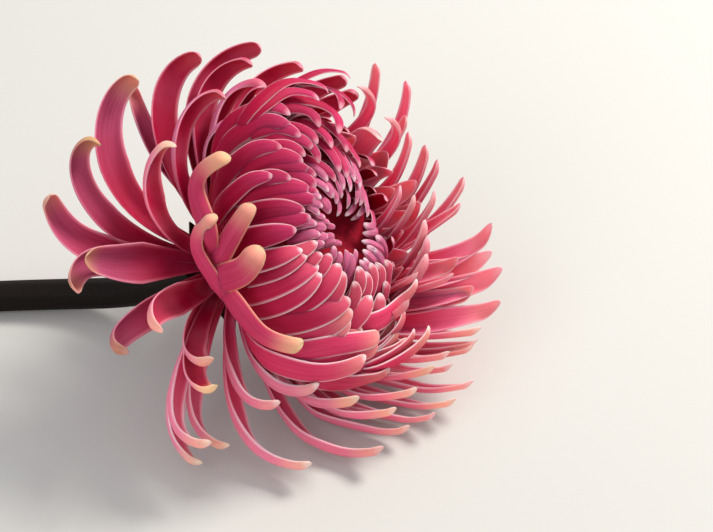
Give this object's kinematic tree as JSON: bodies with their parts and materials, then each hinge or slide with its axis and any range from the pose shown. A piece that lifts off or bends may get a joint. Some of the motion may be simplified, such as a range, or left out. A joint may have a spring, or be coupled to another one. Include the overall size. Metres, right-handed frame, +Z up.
{
  "type": "chrysanthemum flower",
  "caption": "Cut double chrysanthemum bloom on a bare stem, lying on its side, with incurved florets in the middle and open hooked florets round the rim.",
  "frame": {"origin": "on the surface that the flower lies on, under the middle of its bounding box", "axes": "+X from the cut end of the stem towards the bloom, +Z up from the surface"},
  "size_m": [0.1607, 0.1038, 0.081],
  "materials": {
    "petal": "velvety petal, rose to crimson with pale tips",
    "bract": "matt green-brown bract",
    "stem": "dark brown bark, satin"
  },
  "bodies": {
    "root": {"ray_florets": "petal", "involucre": "bract", "stem": "stem"}
  },
  "joints": []
}
